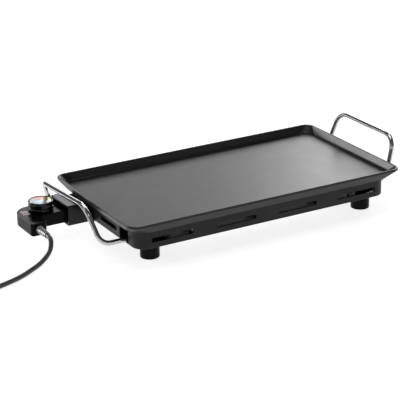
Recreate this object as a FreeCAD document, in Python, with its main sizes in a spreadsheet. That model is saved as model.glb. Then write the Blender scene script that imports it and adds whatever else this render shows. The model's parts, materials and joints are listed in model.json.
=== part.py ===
"""Electric griddle: cast plate on a vented plastic base, wire handles and a plug-in thermostat controller.

Millimetres, +Z up. The origin is on the table, under the middle of the griddle with its controller plugged in:
X runs along the plate, with the controller at -X, and Y runs across it, with the cord leaving the controller
towards -Y. Lengths inside this file are measured from the middle of the plate, and every sub-part is then
placed by plate_shift along X.
"""
import FreeCAD, Part
import math
import os

import Sketcher
from FreeCAD import Placement, Rotation, Vector

doc = FreeCAD.newDocument("ElectricGriddle")
sheet = doc.addObject("Spreadsheet::Sheet", "Dims")

DIMENSIONS = """
plate_shift      35.0    middle of the plate, from the origin
plate_length     500     over the lip
plate_width      276     over the lip
lip_radius       17      corner of the lip in plan
rim_top          72      top of the rim above the table
lip_low          68.4    lower edge of the upright lip
side_length      486     foot of the flared side
side_width       262     foot of the flared side
side_radius      34      corner of the side's foot
side_low         56.5    height of the side's foot
slab_length      478     underside of the plate
slab_width       254     underside of the plate
slab_radius      30      corner of the underside
plate_under      54      height of the underside
floor_height     60      cooking surface above the table
floor_length     484     cooking surface before its edge radius
floor_width      260     cooking surface before its edge radius
floor_radius     28      corner of the cooking surface
mouth_length     493     pan opening at the rim's top
mouth_width      269     pan opening at the rim's top
mouth_radius     13.5    corner of the opening
floor_fillet     3.5     radius between cooking surface and rim
rim_fillet       1.3     rounding of the rim's top edges
base_length      463.2   base frame
base_width       241.8   base frame
base_radius      21      corner of the base in plan
base_low         24.4    underside of the base
base_top         53.5    upper edge of the base
base_wall        2.6     wall thickness
base_floor       2.4     floor thickness
opening_length   300     opening in the base's floor
opening_width    140     opening in the base's floor
slot_length      73      vent slot
slot_height      7.4     vent slot
slot_pitch       114.3   between neighbouring slots
slot_middle      38      height of a slot's centre line
slot_corner      1.6     corner radius of a slot
end_slot_length  54      vent slot in an end wall
end_slot_y       34      vent slots in the right end wall
left_slot_y      -21     vent slot in the left end wall
tray_length      342     reflector tray
tray_width       206     reflector tray
tray_low         26.9    underside of the tray
tray_top         45      upper edge of the tray
tray_sheet       0.8     tray's sheet thickness
foot_x           198     foot centres
foot_y           93.9    foot centres
foot_radius      15.6    foot
foot_low         0.4     lower edge of the foot's shell
foot_fillet      1.4     rounding of the foot's lower edge
pad_radius       11.5    rubber foot pad
pad_top          2.4     upper face of the pad, inside the foot
spigot_radius    6       spigot of the foot in the base's floor
boss_radius      8       seat of a foot's spigot
boss_height      4       seats and bosses on the base's floor
bore_depth       3.2     counterbore for a plate screw's head
notch_top        48      upper edge of the handle notches
spacer_x         130     plate spacers
spacer_y         111     plate spacers
spacer_radius    5       plate spacers
spacer_boss      6.5     boss under a spacer
screw_radius     2       shank of the M4 screws
head_radius      3.9     head of the M4 screws
head_height      2.4     head of the M4 screws
wire_radius      4       handle wire
handle_low       31      height of the handle's ends
handle_end       206     inner end of the handle wire
grip_bend        17      bend radius at the left grip's back end
foot_bend        20      bend radius at the foot of a leg
knee_bend        22      bend radius where a leg turns inwards
right_reach      275     grip of the right handle, from the middle
right_height     104.5   grip of the right handle
right_bend       26      bend radius at the right grip
right_grip       79      half the right grip's length between bend corners
right_knee_x     261     where the right legs turn in, under the plate's rim
right_knee_y     85.5    where the right legs turn in
right_knee_z     60      where the right legs turn in
right_foot       242     foot of the right handle's legs
right_legs       86      half the distance between the right legs' feet
left_front_x     287     front end of the left grip, from the middle
left_front_y     -53     front end of the left grip
left_back_x      297     back end of the left grip
left_back_y      72      back end of the left grip
left_height      88.5    grip of the left handle
left_knee_x      281     where the back leg turns down, behind the socket shroud
left_knee_y      98.5    where the back leg turns down
left_knee_z      60      where the back leg turns down
left_foot        274     foot of the left front leg
left_back_foot   270     foot of the left back leg
left_leg_front   -80     ends of the left handle
left_leg_back    104     ends of the left handle
element_radius   3.75    tubular element
element_height   50.2    centre line of the element
socket_y         63      centre line of socket and controller
socket_height    38.5    height of the terminals, and the controller's parting line
pin_spacing      24      between the terminal pins
pin_radius       3       terminal pin
pin_end          265     outer end of the pins
sheath_end       241     outer end of the element's sheath
probe_radius     3.1     thermostat probe
probe_end        203     inner end of the probe
shroud_end       276.5   mouth of the socket shroud
shroud_front     30      front face of the shroud
shroud_back      92.5    back face of the shroud
shroud_wall      2.6     shroud
shroud_top       58      raised mouth of the shroud
shroud_back_top  53.2    shroud below the plate's rim
shroud_step      253     where the raised mouth ends
head_end         349     outer end of the controller
head_inner       322     where the controller's head meets its neck
head_front       10      front of the controller's head
body_back        88      back of the controller
neck_front       38      front of the controller's neck
neck_end         248     inner end of the controller's neck
body_low         28      underside of the controller
body_top         49      top of the controller
body_wall        2       controller's wall
head_round       27      large corner of the controller's head
knob_x           309     knob axis
knob_y           62      knob axis
knob_radius      20.2    knob
knob_low         51.6    underside of the knob
knob_top         65.2    rim of the knob
knob_groove      57      groove round the knob's side
dial_radius      17.4    dial disc
dial_seat        64      underside of the dial disc
dial_top         65.7    top of the dial disc
spindle_radius   3       knob spindle
spindle_low      44      lower end of the spindle
lens_x           336.5   pilot lamp window
lens_y           61      pilot lamp window
lens_length      12      pilot lamp window
lens_width       20      pilot lamp window
relief_x         335.5   strain relief axis
relief_tip       -18     tip of the strain relief
relief_root      6.6     radius of the strain relief at the housing
relief_end       4.9     radius of the strain relief at its tip
cord_radius      3.8     mains cord
coil_x           512     middle of the coiled cord
coil_y           -46     middle of the coiled cord
coil_radius      38      middle of the coil's turns
coil_half        12       half the width of the coil's bundle
coil_top         15.2    top of the coil
plug_x           558     plug axis
plug_y           20      rear end of the plug
plug_radius      19      plug body
plug_neck        25      length of the plug's relief and taper
plug_body        36      length of the plug's body
plug_pin_radius  2.4     contact pins of the plug
plug_pin_length  19      contact pins of the plug
plug_pin_half    9.5     half the distance between the pins
"""


class Size:
    """A number together with the spreadsheet expression that gives it."""

    def __init__(self, value, text):
        self.value = value
        self.text = text

    def _join(self, other, sign):
        other = as_size(other)
        value = {"+": self.value + other.value, "-": self.value - other.value,
                 "*": self.value * other.value}[sign]
        return Size(value, f"({self.text} {sign} {other.text})")

    def __add__(self, other):
        return self._join(other, "+")

    def __sub__(self, other):
        return self._join(other, "-")

    def __mul__(self, other):
        return self._join(other, "*")

    def __neg__(self):
        return Size(-self.value, f"(0 - {self.text})")


def as_size(number):
    """A Size from a plain number."""
    return number if isinstance(number, Size) else Size(float(number), str(number))


class Dimensions:
    """The spreadsheet's values by alias."""


dim = Dimensions()
for row, line in enumerate(DIMENSIONS.strip().splitlines(), start=1):
    alias, number, note = line.split(None, 2)
    sheet.set(f"A{row}", note)
    sheet.set(f"B{row}", number)
    sheet.setAlias(f"B{row}", alias)
    setattr(dim, alias, Size(float(number), f"Dims.{alias}"))
doc.recompute()

sub_parts = []


def bind(obj, prop, size):
    """Drive one property from the spreadsheet."""
    obj.setExpression(prop, as_size(size).text)


def place(obj, x=0, y=0, z=0):
    """Give an object its place, measured from the middle of the plate."""
    bind(obj, "Placement.Base.x", dim.plate_shift + x)
    bind(obj, "Placement.Base.y", y)
    bind(obj, "Placement.Base.z", z)


def sub_part(obj, label):
    """Register a finished piece under its name."""
    obj.Label = label
    sub_parts.append(obj)
    return obj


# ---------------------------------------------------------------- PartDesign helpers

def new_body(label, x=0, y=0, z=0):
    """An empty body in its place."""
    body = doc.addObject("PartDesign::Body", label)
    place(body, x, y, z)
    return sub_part(body, label)


def new_sketch(body, role="XY_Plane", offset=0):
    """A sketch on one of the body's origin planes, moved along that plane's normal."""
    sketch = body.newObject("Sketcher::SketchObject", body.Label + "_sketch")
    plane = [item for item in body.Origin.OriginFeatures if item.Role == role][0]
    sketch.AttachmentSupport = [(plane, "")]
    sketch.MapMode = "FlatFace"
    bind(sketch, "AttachmentOffset.Base.z", offset)
    return sketch


def locate(sketch, geometry, point, x, y):
    """Hold a point of the geometry at x, y."""
    for axis, size, line in (("DistanceX", as_size(x), -2), ("DistanceY", as_size(y), -1)):
        if abs(size.value) < 1e-9:
            sketch.addConstraint(Sketcher.Constraint("PointOnObject", geometry, point, line))
            continue
        index = sketch.addConstraint(Sketcher.Constraint(axis, -1, 1, geometry, point, size.value))
        sketch.setExpression(f"Constraints[{index}]", size.text)


def add_circle(sketch, radius, x=0, y=0):
    """A circle with a driven radius and centre."""
    radius, x, y = as_size(radius), as_size(x), as_size(y)
    centre = Vector(x.value, y.value, 0)
    circle = sketch.addGeometry(Part.Circle(centre, Vector(0, 0, 1), radius.value), False)
    locate(sketch, circle, 3, x, y)
    index = sketch.addConstraint(Sketcher.Constraint("Radius", circle, radius.value))
    sketch.setExpression(f"Constraints[{index}]", radius.text)


def add_polygon(sketch, points):
    """A closed outline of straight lines, each corner driven."""
    points = [(as_size(x), as_size(y)) for x, y in points]
    flat = [Vector(x.value, y.value, 0) for x, y in points]
    lines = [sketch.addGeometry(Part.LineSegment(flat[i], flat[(i + 1) % len(flat)]), False)
             for i in range(len(flat))]
    for i, line in enumerate(lines):
        sketch.addConstraint(Sketcher.Constraint("Coincident", line, 2, lines[(i + 1) % len(lines)], 1))
    for line, (x, y) in zip(lines, points):
        locate(sketch, line, 1, x, y)


def add_rounded_rect(sketch, length, width, radius, x=0, y=0):
    """A rectangle with equal corner arcs, driven by its size, corner radius and centre."""
    length, width, radius = as_size(length), as_size(width), as_size(radius)
    left, right = as_size(x) - length * 0.5, as_size(x) + length * 0.5
    low, high = as_size(y) - width * 0.5, as_size(y) + width * 0.5
    inner = [(left.value + radius.value, low.value + radius.value),
             (right.value - radius.value, low.value + radius.value),
             (right.value - radius.value, high.value - radius.value),
             (left.value + radius.value, high.value - radius.value)]
    corners = [Vector(px, py, 0) for px, py in inner]
    outward = [Vector(0, -1, 0), Vector(1, 0, 0), Vector(0, 1, 0), Vector(-1, 0, 0)]
    lines = []
    arcs = []
    for i in range(4):
        start, end = corners[i], corners[(i + 1) % 4]
        shift = outward[i] * radius.value
        lines.append(sketch.addGeometry(Part.LineSegment(start + shift, end + shift), False))
        circle = Part.Circle(end, Vector(0, 0, 1), radius.value)
        turn = (i - 1) * math.pi / 2
        arcs.append(sketch.addGeometry(Part.ArcOfCircle(circle, turn, turn + math.pi / 2), False))
    for i in range(4):
        sketch.addConstraint(Sketcher.Constraint("Tangent", lines[i], 2, arcs[i], 1))
        sketch.addConstraint(Sketcher.Constraint("Tangent", arcs[i], 2, lines[(i + 1) % 4], 1))
        sketch.addConstraint(Sketcher.Constraint("Horizontal" if i % 2 == 0 else "Vertical", lines[i]))
    for arc in arcs[1:]:
        sketch.addConstraint(Sketcher.Constraint("Equal", arcs[0], arc))
    index = sketch.addConstraint(Sketcher.Constraint("Radius", arcs[0], radius.value))
    sketch.setExpression(f"Constraints[{index}]", radius.text)
    for axis, line, size in (("DistanceY", lines[0], low), ("DistanceX", lines[1], right),
                             ("DistanceY", lines[2], high), ("DistanceX", lines[3], left)):
        index = sketch.addConstraint(Sketcher.Constraint(axis, -1, 1, line, 1, size.value))
        sketch.setExpression(f"Constraints[{index}]", size.text)


def pad(body, sketch, length, reverse=False):
    """Extrude a sketch by a driven length."""
    feature = body.newObject("PartDesign::Pad", body.Label + "_pad")
    feature.Profile = sketch
    bind(feature, "Length", length)
    feature.Reversed = reverse
    return feature


def pocket(body, sketch, length=None, reverse=False):
    """Cut a sketch by a driven length, or through everything both ways."""
    feature = body.newObject("PartDesign::Pocket", body.Label + "_pocket")
    feature.Profile = sketch
    if length is None:
        feature.SideType = "Symmetric"
        feature.Type = "ThroughAll"
    else:
        bind(feature, "Length", length)
    feature.Reversed = reverse
    return feature


def revolve(body, sketch, axis_role):
    """Turn a sketch a full turn about one of the body's axes."""
    feature = body.newObject("PartDesign::Revolution", body.Label + "_turned")
    feature.Profile = sketch
    axis = [item for item in body.Origin.OriginFeatures if item.Role == axis_role][0]
    feature.ReferenceAxis = (axis, [""])
    feature.Angle = 360.0
    return feature


def loft(body, lower, upper, cut=False):
    """Add or cut the solid between two outlines."""
    kind = "PartDesign::SubtractiveLoft" if cut else "PartDesign::AdditiveLoft"
    feature = body.newObject(kind, body.Label + "_loft")
    feature.Profile = lower
    feature.Sections = [upper]
    feature.Ruled = True
    return feature


def fillet(body, radius, wanted):
    """Round the edges of the body's newest feature that pass the test."""
    doc.recompute()
    base = body.Tip
    names = [f"Edge{i}" for i, edge in enumerate(base.Shape.Edges, start=1) if wanted(edge)]
    feature = body.newObject("PartDesign::Fillet", body.Label + "_fillet")
    feature.Base = (base, names)
    bind(feature, "Radius", radius)
    doc.recompute()
    return feature


def at_height(*heights):
    """A test for edges that lie flat at one of these heights, in the body's own frame."""
    def test(edge):
        box = edge.BoundBox
        return any(abs(box.ZMin - z) < 0.01 and abs(box.ZMax - z) < 0.01 for z in heights)
    return test


def upright_near(x, y, reach=0.5):
    """A test for upright edges that stand near x, y, in the body's own frame."""
    def test(edge):
        box = edge.BoundBox
        centre = box.Center
        flat = max(box.XLength, box.YLength)
        return box.ZLength > 1 and flat < 0.01 and math.hypot(centre.x - x, centre.y - y) < reach
    return test


# ---------------------------------------------------------------- Part helpers

def part_box(name, x_range, y_range, z_range):
    """A box between two driven corners."""
    box = doc.addObject("Part::Box", name)
    lows = [as_size(low) for low, high in (x_range, y_range, z_range)]
    for prop, (low, high) in zip(("Length", "Width", "Height"), (x_range, y_range, z_range)):
        bind(box, prop, as_size(high) - low)
    place(box, *lows)
    return box


def part_cylinder(name, radius, length, x=0, y=0, z=0, along="z"):
    """A cylinder that starts at x, y, z and runs along +X, +Y or +Z."""
    cylinder = doc.addObject("Part::Cylinder", name)
    bind(cylinder, "Radius", radius)
    bind(cylinder, "Height", length)
    turns = {"x": Rotation(Vector(0, 1, 0), 90), "y": Rotation(Vector(1, 0, 0), -90), "z": Rotation()}
    cylinder.Placement = Placement(Vector(), turns[along])
    place(cylinder, x, y, z)
    return cylinder


def cut(name, base, tools):
    """The base less the tools."""
    tool = tools[0] if len(tools) == 1 else fuse(name + "_tools", tools)
    result = doc.addObject("Part::Cut", name)
    result.Base = base
    result.Tool = tool
    return result


def fuse(name, members):
    """Members joined in one solid."""
    result = doc.addObject("Part::MultiFuse", name)
    result.Shapes = members
    return result


def group(name, members):
    """Separate solids kept in one node."""
    result = doc.addObject("Part::Compound", name)
    result.Links = members
    return sub_part(result, name)


def rounded_path(points, radii):
    """Straight runs joined by tangent arcs, one radius for each inner point."""
    edges = []
    start = points[0]
    for before, corner, after, radius in zip(points, points[1:], points[2:], radii):
        into = (corner - before).normalize()
        out = (after - corner).normalize()
        half = into.getAngle(out) / 2
        back = radius * math.tan(half)
        enter, leave = corner - into * back, corner + out * back
        inward = (out - into).normalize()
        middle = corner + inward * (radius / math.cos(half) - radius)
        edges.append(Part.LineSegment(start, enter).toShape())
        edges.append(Part.Arc(enter, middle, leave).toShape())
        start = leave
    edges.append(Part.LineSegment(start, points[-1]).toShape())
    return Part.Wire(edges)


def tube(label, points, radii, radius):
    """A round bar along a rounded path."""
    path = rounded_path(points, radii)
    direction = points[1] - points[0]
    section = Part.Wire(Part.Circle(points[0], direction, radius).toShape())
    solid = path.makePipeShell([section], True, False)
    expected = math.pi * radius ** 2 * path.Length
    if not math.isclose(solid.Volume, expected, rel_tol=0.01):
        raise ValueError(f"{label}: volume {solid.Volume:.0f}, expected {expected:.0f}")
    feature = doc.addObject("Part::Feature", label)
    feature.Shape = solid
    place(feature)
    sub_part(feature, label)
    return path.Length


def widest_radii(points):
    """The largest arcs that a free cord's runs leave room for."""
    radii = []
    for before, corner, after in zip(points, points[1:], points[2:]):
        into, out = corner - before, after - corner
        turn = into.getAngle(out)
        radii.append(0.45 * min(into.Length, out.Length) / math.tan(turn / 2))
    return radii


# ---------------------------------------------------------------- griddle plate and heating

def make_griddle_plate():
    """Cast pan: a slab, a side that flares out to an upright lip, and a shallow cooking tray."""
    body = new_body("griddle_plate")
    slab = new_sketch(body, offset=dim.plate_under)
    add_rounded_rect(slab, dim.slab_length, dim.slab_width, dim.slab_radius)
    pad(body, slab, dim.side_low - dim.plate_under)
    foot = new_sketch(body, offset=dim.side_low)
    add_rounded_rect(foot, dim.side_length, dim.side_width, dim.side_radius)
    head = new_sketch(body, offset=dim.lip_low)
    add_rounded_rect(head, dim.plate_length, dim.plate_width, dim.lip_radius)
    loft(body, foot, head)
    lip = new_sketch(body, offset=dim.lip_low)
    add_rounded_rect(lip, dim.plate_length, dim.plate_width, dim.lip_radius)
    pad(body, lip, dim.rim_top - dim.lip_low)
    floor = new_sketch(body, offset=dim.floor_height)
    add_rounded_rect(floor, dim.floor_length, dim.floor_width, dim.floor_radius)
    mouth = new_sketch(body, offset=dim.rim_top)
    add_rounded_rect(mouth, dim.mouth_length, dim.mouth_width, dim.mouth_radius)
    loft(body, floor, mouth, cut=True)
    fillet(body, dim.floor_fillet, at_height(dim.floor_height.value))
    fillet(body, dim.rim_fillet, at_height(dim.rim_top.value))
    holes = new_sketch(body, offset=dim.plate_under)
    for side_x in (-1, 1):
        for side_y in (-1, 1):
            add_circle(holes, dim.screw_radius + 0.05, dim.spacer_x * side_x, dim.spacer_y * side_y)
    pocket(body, holes, 4.6, reverse=True)


def make_probe_block():
    """Block under the plate that takes the thermostat's probe."""
    block = part_box("probe_block_solid", (-222, -196), (dim.socket_y - 8, dim.socket_y + 8),
                     (dim.socket_height - 4.5, dim.plate_under))
    bore = part_cylinder("probe_bore", dim.probe_radius + 0.08, 30, -224, dim.socket_y,
                         dim.socket_height, "x")
    sub_part(cut("probe_block", block, [bore]), "probe_block")


def make_heating_element():
    """Tubular element: one looped bar below the plate, whose cold ends drop to the socket's height."""
    top = dim.element_height.value
    low = dim.socket_height.value
    front = dim.socket_y.value - dim.pin_spacing.value / 2
    back = dim.socket_y.value + dim.pin_spacing.value / 2
    end = -dim.sheath_end.value
    route = [(end, front, low), (-226, front, low), (-213, front, top), (-192, front, top),
             (-192, -88, top), (192, -88, top), (192, -30, top), (-120, -30, top),
             (-120, 30, top), (192, 30, top), (192, 90, top), (-188, 90, top),
             (-202, back, top), (-213, back, top), (-226, back, low), (end, back, low)]
    bends = [6, 6, 9, 16, 16, 16, 16, 16, 16, 16, 16, 7, 5, 6, 6]
    tube("heating_element", [Vector(*point) for point in route], bends[:len(route) - 2],
         dim.element_radius.value)


def make_element_clips():
    """Saddles that hold the element against the plate."""
    clips = []
    spots = ((-60, -88), (60, -88), (-60, 90), (60, 90), (20, -30), (20, 30))
    for number, (x, y) in enumerate(spots, start=1):
        block = part_box(f"clip_block_{number}", (x - 5, x + 5), (y - 9, y + 9),
                         (dim.element_height - 5.2, dim.plate_under))
        bore = part_cylinder(f"clip_bore_{number}", dim.element_radius + 0.03, 12, x - 6, y,
                             dim.element_height, "x")
        slot = part_box(f"clip_slot_{number}", (x - 6, x + 6),
                        (dim.element_radius * -1 - 0.03 + y, dim.element_radius + 0.03 + y),
                        (dim.element_height, dim.plate_under + 1))
        clips.append(cut(f"clip_{number}", block, [bore, slot]))
    group("element_clips", clips)


def pin_places():
    """The two terminals, front and back."""
    return [dim.socket_y - dim.pin_spacing * 0.5, dim.socket_y + dim.pin_spacing * 0.5]


def make_terminals():
    """Contact pins on the element's ends, their ceramic collars and the bracket that carries them."""
    pins = []
    collars = []
    holes = []
    for number, y in enumerate(pin_places(), start=1):
        pins.append(part_cylinder(f"terminal_pin_{number}", dim.pin_radius,
                                  dim.pin_end - dim.sheath_end, -dim.pin_end, y, dim.socket_height, "x"))
        outer = part_cylinder(f"collar_outer_{number}", 5.4, 5, -dim.sheath_end - 5.05, y,
                              dim.socket_height, "x")
        inner = part_cylinder(f"collar_inner_{number}", dim.pin_radius + 0.05, 7,
                              -dim.sheath_end - 6, y, dim.socket_height, "x")
        collars.append(cut(f"collar_{number}", outer, [inner]))
        holes.append(part_cylinder(f"bracket_hole_{number}", dim.element_radius + 0.05, 4, -238, y,
                                   dim.socket_height, "x"))
    group("terminal_pins", pins)
    group("terminal_insulators", collars)
    holes.append(part_cylinder("bracket_probe_hole", dim.probe_radius + 0.6, 4, -238, dim.socket_y,
                               dim.socket_height, "x"))
    gap = dim.shroud_wall + 0.5
    plate = part_box("bracket_plate", (-237, -235.5), (dim.shroud_front + gap, dim.shroud_back - gap),
                     (dim.base_low + gap, dim.shroud_back_top - gap))
    sub_part(cut("inlet_bracket", plate, holes), "inlet_bracket")


# ---------------------------------------------------------------- base

CORNERS = [(side_x, side_y) for side_x in (-1, 1) for side_y in (-1, 1)]


def shroud_screw_places():
    """Y and Z of the four screws that hold the socket shroud to the base's end wall."""
    return [(y, z) for y in (dim.shroud_front - 2.5, dim.shroud_back + 2.5) for z in (31, 47)]


def make_base_frame():
    """Moulded frame: rounded walls with vent slots, a floor with a large opening and four foot seats."""
    body = new_body("base_frame")
    outline = new_sketch(body, offset=dim.base_low)
    add_rounded_rect(outline, dim.base_length, dim.base_width, dim.base_radius)
    pad(body, outline, dim.base_top - dim.base_low)
    fillet(body, 1.6, at_height(dim.base_low.value))
    inside = new_sketch(body, offset=dim.base_top)
    add_rounded_rect(inside, dim.base_length - dim.base_wall * 2, dim.base_width - dim.base_wall * 2,
                     dim.base_radius - dim.base_wall)
    pocket(body, inside, dim.base_top - dim.base_low - dim.base_floor)
    seats = new_sketch(body, offset=dim.base_low + dim.base_floor)
    for side_x, side_y in CORNERS:
        add_circle(seats, dim.boss_radius, dim.foot_x * side_x, dim.foot_y * side_y)
        add_circle(seats, dim.spacer_boss, dim.spacer_x * side_x, dim.spacer_y * side_y)
    pad(body, seats, dim.boss_height)
    opening = new_sketch(body, offset=dim.base_low)
    add_rounded_rect(opening, dim.opening_length, dim.opening_width, 10)
    for side_x, side_y in CORNERS:
        add_circle(opening, dim.spigot_radius + 0.1, dim.foot_x * side_x, dim.foot_y * side_y)
        add_circle(opening, dim.screw_radius + 0.2, dim.spacer_x * side_x, dim.spacer_y * side_y)
    pocket(body, opening, 8, reverse=True)
    counterbores = new_sketch(body, offset=dim.base_low)
    for side_x, side_y in CORNERS:
        add_circle(counterbores, dim.head_radius + 0.2, dim.spacer_x * side_x, dim.spacer_y * side_y)
    pocket(body, counterbores, dim.bore_depth, reverse=True)
    slots = new_sketch(body, "XZ_Plane")
    for pitches in (-1.5, -0.5, 0.5, 1.5):
        add_rounded_rect(slots, dim.slot_length, dim.slot_height, dim.slot_corner,
                         dim.slot_pitch * pitches, dim.slot_middle)
    pocket(body, slots)
    notch_height = dim.notch_top - dim.base_low - dim.base_floor
    notch_middle = (dim.notch_top + dim.base_low + dim.base_floor) * 0.5
    right = new_sketch(body, "YZ_Plane", offset=dim.base_length * 0.5 - 30)
    for side in (-1, 1):
        add_rounded_rect(right, dim.end_slot_length, dim.slot_height, dim.slot_corner,
                         dim.end_slot_y * side, dim.slot_middle)
        add_rounded_rect(right, 26, notch_height, 2, (dim.right_legs - 7) * side, notch_middle)
    pocket(body, right, 40, reverse=True)
    left = new_sketch(body, "YZ_Plane", offset=-dim.base_length * 0.5 + 30)
    add_rounded_rect(left, dim.end_slot_length, dim.slot_height, dim.slot_corner,
                     dim.left_slot_y, dim.slot_middle)
    add_rounded_rect(left, 29, notch_height, 2, dim.left_leg_front + 7, notch_middle)
    add_rounded_rect(left, 11, notch_height, 2, dim.left_leg_back, notch_middle)
    inlet_low, inlet_high = dim.base_low + dim.base_floor, dim.base_top + 1
    inlet_front, inlet_back = dim.shroud_front - 0.1, dim.shroud_back + 0.1
    add_polygon(left, [(inlet_front, inlet_low), (inlet_back, inlet_low),
                       (inlet_back, inlet_high), (inlet_front, inlet_high)])
    pocket(body, left, 40)
    pilots = new_sketch(body, "YZ_Plane", offset=-dim.base_length * 0.5 + dim.base_wall)
    for y, z in shroud_screw_places():
        add_circle(pilots, 1.55, y, z)
    pocket(body, pilots, 2)


def make_reflector_tray():
    """Bright sheet tray that closes the floor below the element."""
    body = new_body("reflector_tray")
    outline = new_sketch(body, offset=dim.tray_low)
    add_rounded_rect(outline, dim.tray_length, dim.tray_width, 9)
    pad(body, outline, dim.tray_top - dim.tray_low)
    inside = new_sketch(body, offset=dim.tray_top)
    add_rounded_rect(inside, dim.tray_length - dim.tray_sheet * 2, dim.tray_width - dim.tray_sheet * 2,
                     9 - dim.tray_sheet.value)
    pocket(body, inside, dim.tray_top - dim.tray_low - dim.tray_sheet)


def make_plate_fixings():
    """Spacers between base and plate, and the screws that run up through them."""
    spacers = []
    screws = []
    boss_top = dim.base_low + dim.base_floor + dim.boss_height
    head_low = dim.base_low + dim.bore_depth - dim.head_height
    for number, (side_x, side_y) in enumerate(CORNERS, start=1):
        x, y = dim.spacer_x * side_x, dim.spacer_y * side_y
        outer = part_cylinder(f"spacer_outer_{number}", dim.spacer_radius,
                              dim.plate_under - boss_top, x, y, boss_top)
        inner = part_cylinder(f"spacer_inner_{number}", dim.screw_radius + 0.3, 40, x, y, 20)
        spacers.append(cut(f"spacer_{number}", outer, [inner]))
        head = part_cylinder(f"plate_screw_head_{number}", dim.head_radius, dim.head_height, x, y,
                             head_low)
        shank = part_cylinder(f"plate_screw_shank_{number}", dim.screw_radius,
                              dim.plate_under + 4 - head_low - 2, x, y, head_low + 2)
        socket = part_cylinder(f"plate_screw_socket_{number}", 1.5, 1.4, x, y, head_low)
        screws.append(cut(f"plate_screw_{number}", fuse(f"plate_screw_blank_{number}", [head, shank]),
                          [socket]))
    group("plate_spacers", spacers)
    group("plate_screws", screws)


def make_foot(label, side_x, side_y):
    """Turned foot with a recess for its rubber pad and a blind hole for its screw."""
    body = new_body(label, dim.foot_x * side_x, dim.foot_y * side_y)
    profile = new_sketch(body, "XZ_Plane")
    recess = dim.pad_radius + 0.1
    add_polygon(profile, [(0, dim.pad_top), (recess, dim.pad_top), (recess, dim.foot_low),
                          (dim.foot_radius, dim.foot_low), (dim.foot_radius, dim.base_low),
                          (dim.spigot_radius, dim.base_low),
                          (dim.spigot_radius, dim.base_low + dim.base_floor + dim.boss_height),
                          (0, dim.base_low + dim.base_floor + dim.boss_height)])
    revolve(body, profile, "Z_Axis")
    doc.recompute()

    def lower_rim(edge):
        return at_height(dim.foot_low.value)(edge) and edge.BoundBox.XLength > dim.foot_radius.value * 2 - 1

    fillet(body, dim.foot_fillet, lower_rim)
    hole = new_sketch(body, offset=dim.base_low + dim.base_floor + dim.boss_height)
    add_circle(hole, dim.screw_radius + 0.05)
    pocket(body, hole, 18)


def make_foot_pad(label, side_x, side_y):
    """Soft disc that the griddle stands on."""
    disc = part_cylinder(label, dim.pad_radius, dim.pad_top, dim.foot_x * side_x, dim.foot_y * side_y)
    sub_part(disc, label)


def make_feet():
    """Four feet with their pads, and the screws that hold them from above."""
    screws = []
    seat = dim.base_low + dim.base_floor + dim.boss_height
    for front, side_y in (("front", -1), ("back", 1)):
        for end, side_x in (("left", -1), ("right", 1)):
            make_foot(f"foot_{front}_{end}", side_x, side_y)
            make_foot_pad(f"foot_pad_{front}_{end}", side_x, side_y)
            x, y = dim.foot_x * side_x, dim.foot_y * side_y
            head = part_cylinder(f"foot_screw_head_{front}_{end}", dim.head_radius, dim.head_height,
                                 x, y, seat)
            shank = part_cylinder(f"foot_screw_shank_{front}_{end}", dim.screw_radius, 16, x, y,
                                  seat - 15.5)
            screws.append(fuse(f"foot_screw_{front}_{end}", [head, shank]))
    group("foot_screws", screws)


# ---------------------------------------------------------------- handles

def make_right_handle():
    """Bright wire handle: legs lean out and apart down from the grip, then turn in to the base."""
    half, knee, legs = dim.right_grip.value, dim.right_knee_y.value, dim.right_legs.value
    low, start = dim.handle_low.value, dim.handle_end.value
    route = []
    for side in (-1, 1):
        leg = [Vector(start, legs * side, low),
               Vector(dim.right_foot.value, legs * side, low),
               Vector(dim.right_knee_x.value, knee * side, dim.right_knee_z.value),
               Vector(dim.right_reach.value, half * side, dim.right_height.value)]
        route += leg if side < 0 else leg[::-1]
    foot, turn, grip = dim.foot_bend.value, dim.knee_bend.value, dim.right_bend.value
    length = tube("handle_right", route, [foot, turn, grip, grip, turn, foot], dim.wire_radius.value)
    print(f"handle_right: {length:.0f} mm of wire")


def make_left_handle():
    """Bright wire handle set askew, so that its back leg passes behind the socket shroud."""
    low, start, height = dim.handle_low.value, dim.handle_end.value, dim.left_height.value
    front, back = dim.left_leg_front.value, dim.left_leg_back.value
    route = [Vector(-start, front, low),
             Vector(-dim.left_foot.value, front, low),
             Vector(-dim.left_front_x.value, dim.left_front_y.value, height),
             Vector(-dim.left_back_x.value, dim.left_back_y.value, height),
             Vector(-dim.left_knee_x.value, dim.left_knee_y.value, dim.left_knee_z.value),
             Vector(-dim.left_back_foot.value, back, low),
             Vector(-start, back, low)]
    foot, turn, grip = dim.foot_bend.value, dim.knee_bend.value, dim.grip_bend.value
    length = tube("handle_left", route, [foot, grip * 1.7, grip, turn, foot], dim.wire_radius.value)
    print(f"handle_left: {length:.0f} mm of wire")


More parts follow.
